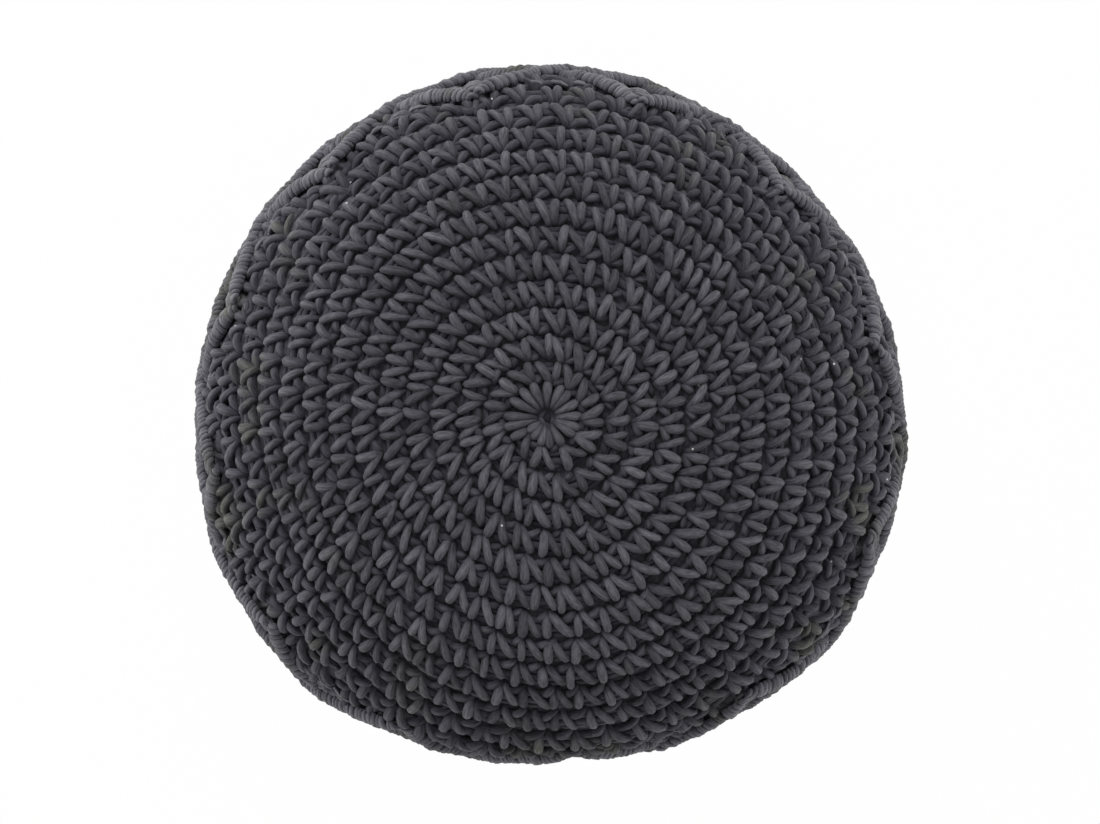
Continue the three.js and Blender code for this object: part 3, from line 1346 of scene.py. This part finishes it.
@dataclass
class FilledBody:
    """Cloth-covered filling that shows as dark cotton in the gaps between the cords.

    It starts as a sphere of start_radius metres, and each of its rings is put in place. Its side
    runs between two shares of the side's curve, and its crown from crown_share of the panel's radius.
    """

    form: PoufForm
    crown_depth: float = 9.7
    side_depth: float = 14.0
    base_depth: float = 9.0
    columns: int = 144
    crown_rings: int = 22
    side_rings: int = 34
    base_rings: int = 6
    base_inset: float = 6.0
    side_shares: tuple[float, float] = (0.97, 0.02)
    crown_share: float = 0.98
    start_radius: float = 0.2
    fill: float = 0.9

    def rings(self) -> list[np.ndarray]:
        """Works out the body's rings.

        Returns:
            The rings, from the middle of the base up to the middle of the top.
        """
        station = np.arange(self.columns) * self.form.rim_points / self.columns
        bearing = self.form.station_bearing(station)
        outline = self.form.outline(bearing)
        stack = []
        for share in np.linspace(1 / self.base_rings, 1, self.base_rings):
            flat = at_bearing(outline * share * (self.form.base_radius - self.base_inset), bearing)
            stack.append(self.form.on_base(flat, np.full(self.columns, -self.base_depth))[0])
        for share in np.linspace(*self.side_shares, self.side_rings):
            depth = np.full(self.columns, -self.side_depth)
            stack.append(self.form.on_side(station, np.full(self.columns, share), depth)[0])
        for share in np.linspace(self.crown_share, 1 / self.crown_rings, self.crown_rings):
            flat = at_bearing(self.form.crown_reach(share * self.form.panel_radius, bearing), bearing)
            stack.append(self.form.on_crown(flat, np.full(self.columns, -self.crown_depth))[0])
        return stack

    def build(self) -> bpy.types.Object:
        """Returns:
            The body's object.
        """
        stack = self.rings()
        bpy.ops.object.select_all(action="DESELECT")
        bpy.ops.mesh.primitive_uv_sphere_add(
            segments=self.columns, ring_count=len(stack) + 1, radius=self.start_radius
        )
        piece = bpy.context.object
        piece.name = piece.data.name = "filled_body"
        levels: dict[float, list[bpy.types.MeshVertex]] = {}
        for vertex in piece.data.vertices:
            levels.setdefault(round(vertex.co.z, 5), []).append(vertex)
        for height, ring in zip(sorted(levels)[1:-1], stack):
            for vertex in levels[height]:
                bearing = math.atan2(vertex.co.x, vertex.co.y) % (2 * math.pi)
                vertex.co = ring[round(bearing / (2 * math.pi) * self.columns) % self.columns] * MM
        ends = (self.base_depth, self.form.crown.rows[0][2] - self.crown_depth)
        for height, end in zip((min(levels), max(levels)), ends):
            levels[height][0].co = (*(self.form.middle[:2] * MM), end * MM)
        bpy.ops.object.shade_smooth()
        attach(piece, ROOT_BODY)
        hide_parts(SIDE_NODE)
        LOG.info("filled_body: %d triangles", 2 * self.columns * len(stack))
        return piece


# ---------------------------------------------------------------------------------------------
# Finishes
# ---------------------------------------------------------------------------------------------


@dataclass(frozen=True)
class CottonCord:
    """Braided cotton cord, dyed charcoal and matt.

    Its fibres lie along the cord, so it has fine streaks along it and soft light at its edges. They
    are drawn coarser than real ones, so that they show. Strands that stand proud get a painted
    highlight on their tops, and buried ones get painted shade, darker and a little bluer. Near the
    rim the cord is faded in patches, and a few specks of pale lint cling to it. What ends in _noise
    is the stretch of a noise pattern's values that a change of tone runs over.
    """

    name: str = "braided cotton cord"
    pale_colour: str = "636267"
    deep_colour: str = "47464b"
    worn_colour: str = "5f5f59"
    lint_colour: str = "d8d8d6"
    # Tint and tone of the painted shade on buried strands, and tone of the painted highlight on proud ones.
    painted_shade_tint: str = "ecebfc"
    painted_shade_tone: float = 0.6
    highlight_tone: float = 1.13
    roughness: float = 0.92
    specular: float = 0.25
    sheen: float = 0.12
    sheen_roughness: float = 0.5
    fibre_mm: float = 1.1
    fibre_length_mm: float = 5.0
    fibre_relief_mm: float = 0.5
    fibre_noise: tuple[float, float] = (0.36, 0.64)
    fibre_tones: tuple[float, float] = (0.66, 1.38)
    patch_mm: float = 42.0
    patch_noise: tuple[float, float] = (0.56, 0.68)
    patch_radii_mm: tuple[float, float] = (150.0, 225.0)
    lint_apart_mm: float = 34.0
    lint_radius_mm: float = 0.9
    lint_core: float = 0.7

    def material(self) -> bpy.types.Material:
        """Makes the material.

        Returns:
            The material.
        """
        material = empty_material(self.name)
        tree = material.node_tree
        place = add_node(tree, "ShaderNodeTexCoord", {}, {}).outputs["Object"]
        fibres = self.fibres(tree)
        faded = self.faded(tree, self.dyed(tree), place)
        streaked = self.streaked(tree, self.painted_light(tree, faded), fibres)
        bump = add_node(
            tree,
            "ShaderNodeBump",
            {"Strength": 0.9, "Distance": self.fibre_relief_mm * MM},
            {"Height": fibres},
        )
        surface = add_node(
            tree,
            "ShaderNodeBsdfPrincipled",
            {
                "Roughness": self.roughness,
                "Specular IOR Level": self.specular,
                "Sheen Weight": self.sheen,
                "Sheen Roughness": self.sheen_roughness,
            },
            {"Base Color": self.linted(tree, streaked, place), "Normal": bump.outputs["Normal"]},
        )
        add_node(tree, "ShaderNodeOutputMaterial", {}, {"Surface": surface.outputs["BSDF"]})
        return material

    def fibres(self, tree: bpy.types.NodeTree) -> bpy.types.NodeSocket:
        """Makes the pattern of fibres, which follows the cord by its UV map.

        Args:
            tree: The material's node tree.

        Returns:
            The pattern's value.
        """
        along = add_node(tree, "ShaderNodeUVMap", {"uv_map": "cord"}, {})
        stretch = add_node(
            tree,
            "ShaderNodeMapping",
            {"Scale": (1 / (self.fibre_mm * MM), 1 / (self.fibre_length_mm * MM), 1.0)},
            {"Vector": along.outputs["UV"]},
        )
        pattern = add_node(
            tree,
            "ShaderNodeTexNoise",
            {"Scale": 1.0, "Detail": 3.0, "Roughness": 0.6},
            {"Vector": stretch.outputs["Vector"]},
        )
        return pattern.outputs["Fac"]

    def dyed(self, tree: bpy.types.NodeTree) -> bpy.types.NodeSocket:
        """Dyes each strand between the deep and the pale colour, by its own shade.

        Args:
            tree: The material's node tree.

        Returns:
            The colour.
        """
        strand = add_node(tree, "ShaderNodeAttribute", {"attribute_name": "strand_shade"}, {})
        share = add_node(
            tree,
            "ShaderNodeMapRange",
            {"From Min": -1.0, "From Max": 1.0},
            {"Value": strand.outputs["Fac"]},
        )
        colours = {MIX_FIRST: linear_colour(self.deep_colour), MIX_SECOND: linear_colour(self.pale_colour)}
        dye = add_node(
            tree,
            "ShaderNodeMix",
            {"data_type": "RGBA", **colours},
            {MIX_SHARE: share.outputs["Result"]},
        )
        return dye.outputs[MIX_RESULT]

    def faded(
        self, tree: bpy.types.NodeTree, colour: bpy.types.NodeSocket, place: bpy.types.NodeSocket
    ) -> bpy.types.NodeSocket:
        """Fades a colour in soft patches near the rim.

        Args:
            tree: The material's node tree.
            colour: The colour before.
            place: Place on the pouf, in metres.

        Returns:
            The colour after.
        """
        patches = add_node(
            tree,
            "ShaderNodeTexNoise",
            {"Scale": 1 / (self.patch_mm * MM), "Detail": 2.0},
            {"Vector": place},
        )
        worn = add_node(
            tree,
            "ShaderNodeMapRange",
            {"From Min": self.patch_noise[0], "From Max": self.patch_noise[1]},
            {"Value": patches.outputs["Fac"]},
        )
        flat = add_node(
            tree,
            "ShaderNodeVectorMath",
            {"operation": "MULTIPLY", 1: (1.0, 1.0, 0.0)},
            {0: place},
        )
        from_axis = add_node(tree, "ShaderNodeVectorMath", {"operation": "LENGTH"}, {0: flat.outputs[0]})
        near_rim = add_node(
            tree,
            "ShaderNodeMapRange",
            {"From Min": self.patch_radii_mm[0] * MM, "From Max": self.patch_radii_mm[1] * MM},
            {"Value": from_axis.outputs["Value"]},
        )
        worn_rim = add_node(
            tree,
            "ShaderNodeMath",
            {"operation": "MULTIPLY"},
            {0: worn.outputs["Result"], 1: near_rim.outputs["Result"]},
        )
        fade = add_node(
            tree,
            "ShaderNodeMix",
            {"data_type": "RGBA", MIX_SECOND: linear_colour(self.worn_colour)},
            {MIX_SHARE: worn_rim.outputs[0], MIX_FIRST: colour},
        )
        return fade.outputs[MIX_RESULT]

    def painted_light(self, tree: bpy.types.NodeTree, colour: bpy.types.NodeSocket) -> bpy.types.NodeSocket:
        """Paints a highlight into a colour where strands stand proud, and paints shade, darker and a little
        bluer, where they are buried.

        Args:
            tree: The material's node tree.
            colour: The colour before.

        Returns:
            The colour after.
        """
        # Reads the painted light of each corner point.
        proud = add_node(tree, "ShaderNodeAttribute", {"attribute_name": "painted_light"}, {})
        tone = add_node(
            tree,
            "ShaderNodeMapRange",
            {"To Min": self.painted_shade_tone, "To Max": self.highlight_tone},
            {"Value": proud.outputs["Fac"]},
        )
        tint = add_node(
            tree,
            "ShaderNodeMix",
            {"data_type": "RGBA", MIX_FIRST: linear_colour(self.painted_shade_tint), MIX_SECOND: WHITE},
            {MIX_SHARE: proud.outputs["Fac"]},
        )
        light = add_node(
            tree,
            "ShaderNodeVectorMath",
            {"operation": "SCALE"},
            {0: tint.outputs[MIX_RESULT], "Scale": tone.outputs["Result"]},
        )
        toned = add_node(
            tree,
            "ShaderNodeVectorMath",
            {"operation": "MULTIPLY"},
            {0: colour, 1: light.outputs[0]},
        )
        return toned.outputs[0]

    def streaked(
        self, tree: bpy.types.NodeTree, colour: bpy.types.NodeSocket, fibres: bpy.types.NodeSocket
    ) -> bpy.types.NodeSocket:
        """Streaks a colour with the fibres.

        Args:
            tree: The material's node tree.
            colour: The colour before.
            fibres: Value of the fibre pattern.

        Returns:
            The colour after.
        """
        low, high = self.fibre_noise
        dark, pale = self.fibre_tones
        tone = add_node(
            tree,
            "ShaderNodeMapRange",
            {"From Min": low, "From Max": high, "To Min": dark, "To Max": pale},
            {"Value": fibres},
        )
        streaks = add_node(
            tree,
            "ShaderNodeVectorMath",
            {"operation": "SCALE"},
            {0: colour, "Scale": tone.outputs["Result"]},
        )
        return streaks.outputs[0]

    def linted(
        self, tree: bpy.types.NodeTree, colour: bpy.types.NodeSocket, place: bpy.types.NodeSocket
    ) -> bpy.types.NodeSocket:
        """Puts specks of lint over a colour.

        Args:
            tree: The material's node tree.
            colour: The colour before.
            place: Place on the pouf, in metres.

        Returns:
            The colour after.
        """
        specks = add_node(
            tree,
            "ShaderNodeTexVoronoi",
            {"Scale": 1 / (self.lint_apart_mm * MM)},
            {"Vector": place},
        )
        reach = self.lint_radius_mm / self.lint_apart_mm
        is_lint = add_node(
            tree,
            "ShaderNodeMapRange",
            {"From Min": self.lint_core * reach, "From Max": reach, "To Min": 1.0, "To Max": 0.0},
            {"Value": specks.outputs["Distance"]},
        )
        lint = add_node(
            tree,
            "ShaderNodeMix",
            {"data_type": "RGBA", MIX_SECOND: linear_colour(self.lint_colour)},
            {MIX_SHARE: is_lint.outputs["Result"], MIX_FIRST: colour},
        )
        return lint.outputs[MIX_RESULT]


@dataclass(frozen=True)
class CottonCloth:
    """Plain woven cotton on the filling, as dark as the cord, so that gaps stay dark.

    Its threads are drawn coarser than real ones, and its patches of tone break up what little of it
    shows.
    """

    name: str = "plain woven cotton"
    colour: str = "5c5b63"
    roughness: float = 0.95
    specular: float = 0.2
    thread_mm: float = 0.8
    thread_relief_mm: float = 0.2
    patch_mm: float = 4.0
    patch_noise: tuple[float, float] = (0.35, 0.65)
    patch_tones: tuple[float, float] = (0.6, 1.3)

    def material(self) -> bpy.types.Material:
        """Makes the material.

        Returns:
            The material.
        """
        material = empty_material(self.name)
        tree = material.node_tree
        place = add_node(tree, "ShaderNodeTexCoord", {}, {}).outputs["Object"]
        weave = add_node(
            tree,
            "ShaderNodeTexNoise",
            {"Scale": 1 / (self.thread_mm * MM), "Detail": 1.0},
            {"Vector": place},
        )
        bump = add_node(
            tree,
            "ShaderNodeBump",
            {"Strength": 0.4, "Distance": self.thread_relief_mm * MM},
            {"Height": weave.outputs["Fac"]},
        )
        patches = add_node(
            tree,
            "ShaderNodeTexNoise",
            {"Scale": 1 / (self.patch_mm * MM), "Detail": 2.0},
            {"Vector": place},
        )
        low, high = self.patch_noise
        dark, pale = self.patch_tones
        tone = add_node(
            tree,
            "ShaderNodeMapRange",
            {"From Min": low, "From Max": high, "To Min": dark, "To Max": pale},
            {"Value": patches.outputs["Fac"]},
        )
        dyed = add_node(
            tree,
            "ShaderNodeVectorMath",
            {"operation": "SCALE", 0: linear_colour(self.colour)[:3]},
            {"Scale": tone.outputs["Result"]},
        )
        surface = add_node(
            tree,
            "ShaderNodeBsdfPrincipled",
            {"Roughness": self.roughness, "Specular IOR Level": self.specular},
            {"Base Color": dyed.outputs[0], "Normal": bump.outputs["Normal"]},
        )
        add_node(tree, "ShaderNodeOutputMaterial", {}, {"Surface": surface.outputs["BSDF"]})
        return material


# ---------------------------------------------------------------------------------------------
# Studio
# ---------------------------------------------------------------------------------------------


@dataclass(frozen=True)
class SoftLight:
    """One rectangular soft light, with its place and size in metres and its power in watts."""

    name: str
    place: tuple[float, float, float]
    size: tuple[float, float]
    watts: float


@dataclass
class Studio:
    """Pale floor, soft lights and the camera that looks down on the pouf's top.

    Lengths are in metres. frame_width is how much the camera takes in across, where it aims. The
    cord and cloth are matt, so only the camera sees the floor and the sky as white.
    """

    aim: tuple[float, float, float] = (0.0, 0.0, 0.2)
    distance: float = 2.8
    tilt_deg: float = 2.6
    frame_width: float = 0.777
    sensor_mm: float = 36.0
    view_limit: float = 50.0
    floor_size: float = 12.0
    floor_colour: str = "fafafa"
    floor_white: float = 0.985
    sky_strength: float = 0.31
    soft_lights: tuple[SoftLight, ...] = (
        SoftLight("window", (-0.4, 1.9, 1.7), (1.6, 1.2), 30.0),
        SoftLight("left", (-2.2, 0.2, 0.75), (1.0, 1.0), 25.0),
        SoftLight("right", (2.2, 0.4, 0.8), (1.0, 1.0), 18.0),
        SoftLight("fill", (0.9, -2.1, 0.6), (1.6, 1.0), 11.0),
    )

    def camera(self) -> None:
        """Makes the camera and sets it as the scene's."""
        tilt = math.radians(self.tilt_deg)
        lens = bpy.data.cameras.new("camera")
        lens.sensor_width = self.sensor_mm
        lens.lens = self.sensor_mm * self.distance / self.frame_width
        lens.clip_end = self.view_limit
        camera = bpy.data.objects.new("camera", lens)
        camera.location = (
            self.aim[0],
            self.aim[1] + self.distance * math.sin(tilt),
            self.aim[2] + self.distance * math.cos(tilt),
        )
        camera.rotation_euler = (-tilt, 0.0, 0.0)
        bpy.context.scene.collection.objects.link(camera)
        bpy.context.scene.camera = camera

    def floor(self) -> None:
        """Makes the floor, which looks white to the camera and still takes a soft shadow."""
        bpy.ops.object.select_all(action="DESELECT")
        bpy.ops.mesh.primitive_plane_add(size=self.floor_size)
        floor = bpy.context.object
        floor.name = "floor"
        material = empty_material("white floor")
        tree = material.node_tree
        path = add_node(tree, "ShaderNodeLightPath", {}, {})
        seen = add_node(
            tree,
            "ShaderNodeMath",
            {"operation": "MULTIPLY", 1: self.floor_white},
            {0: path.outputs["Is Camera Ray"]},
        )
        plain = add_node(tree, "ShaderNodeBsdfDiffuse", {"Color": linear_colour(self.floor_colour)}, {})
        white = add_node(tree, "ShaderNodeEmission", {"Color": WHITE, "Strength": 1.0}, {})
        both = add_node(
            tree,
            "ShaderNodeMixShader",
            {},
            {0: seen.outputs[0], 1: plain.outputs[0], 2: white.outputs[0]},
        )
        add_node(tree, "ShaderNodeOutputMaterial", {}, {"Surface": both.outputs[0]})
        floor.data.materials.append(material)

    def lamp(self, soft_light: SoftLight) -> None:
        """Adds one soft light, which points at the pouf.

        Args:
            soft_light: Its name, place, size and power.
        """
        light = bpy.data.lights.new(soft_light.name, "AREA")
        light.shape = "RECTANGLE"
        light.size, light.size_y = soft_light.size
        light.energy = soft_light.watts
        lamp = bpy.data.objects.new(soft_light.name, light)
        lamp.location = soft_light.place
        toward = mathutils.Vector(self.aim) - lamp.location
        lamp.rotation_euler = toward.to_track_quat("-Z", "Y").to_euler()
        bpy.context.scene.collection.objects.link(lamp)

    def sky(self) -> None:
        """Makes the sky, which looks white to the camera and lights the pouf at its own strength."""
        world = bpy.data.worlds.new("sky")
        bpy.context.scene.world = world
        world.use_nodes = True
        tree = world.node_tree
        tree.nodes.clear()
        path = add_node(tree, "ShaderNodeLightPath", {}, {})
        strength = add_node(
            tree,
            "ShaderNodeMapRange",
            {"To Min": self.sky_strength, "To Max": 1.0},
            {"Value": path.outputs["Is Camera Ray"]},
        )
        plain = add_node(
            tree,
            "ShaderNodeBackground",
            {"Color": WHITE},
            {"Strength": strength.outputs["Result"]},
        )
        add_node(tree, "ShaderNodeOutputWorld", {}, {"Surface": plain.outputs[0]})

    def build(self) -> None:
        """Sets up the camera, floor, lights, sky and view."""
        self.camera()
        self.floor()
        for soft_light in self.soft_lights:
            self.lamp(soft_light)
        self.sky()
        bpy.context.scene.view_settings.view_transform = "Standard"


# ---------------------------------------------------------------------------------------------
# Putting it together
# ---------------------------------------------------------------------------------------------


def main() -> None:
    """Builds the pouf and its studio, and reports each piece."""
    form = PoufForm()
    Studio().build()
    thick = CottonCord().material()
    # The fine cord's paler colours are partly its own lighter tone and partly painted light, standing in
    # for its fuzz catching light at grazing angles on the side.
    fine = CottonCord(
        "fine cotton cord", pale_colour="858487", deep_colour="646366", sheen=0.15, fibre_mm=0.6
    ).material()
    cords = {"top_cord": thick, "base_cord": thick, "side_cord": fine}
    body = FilledBody(form).build()
    body.data.materials.append(CottonCloth().material())
    top = CrochetPanel(
        form, Face.TOP, edge=229.0, seed=7, scallop=28.0, hem_reach=9.0, loose_loop_count=62
    )
    base = CrochetPanel(form, Face.BASE, edge=201.0, seed=11, rings=6, sides=5)
    band = KnottedBand(form, seed=23)
    for work in (*top.build(), *base.build(), *band.build()):
        work.build().data.materials.append(cords[work.slot])


if __name__ == "__main__":
    main()
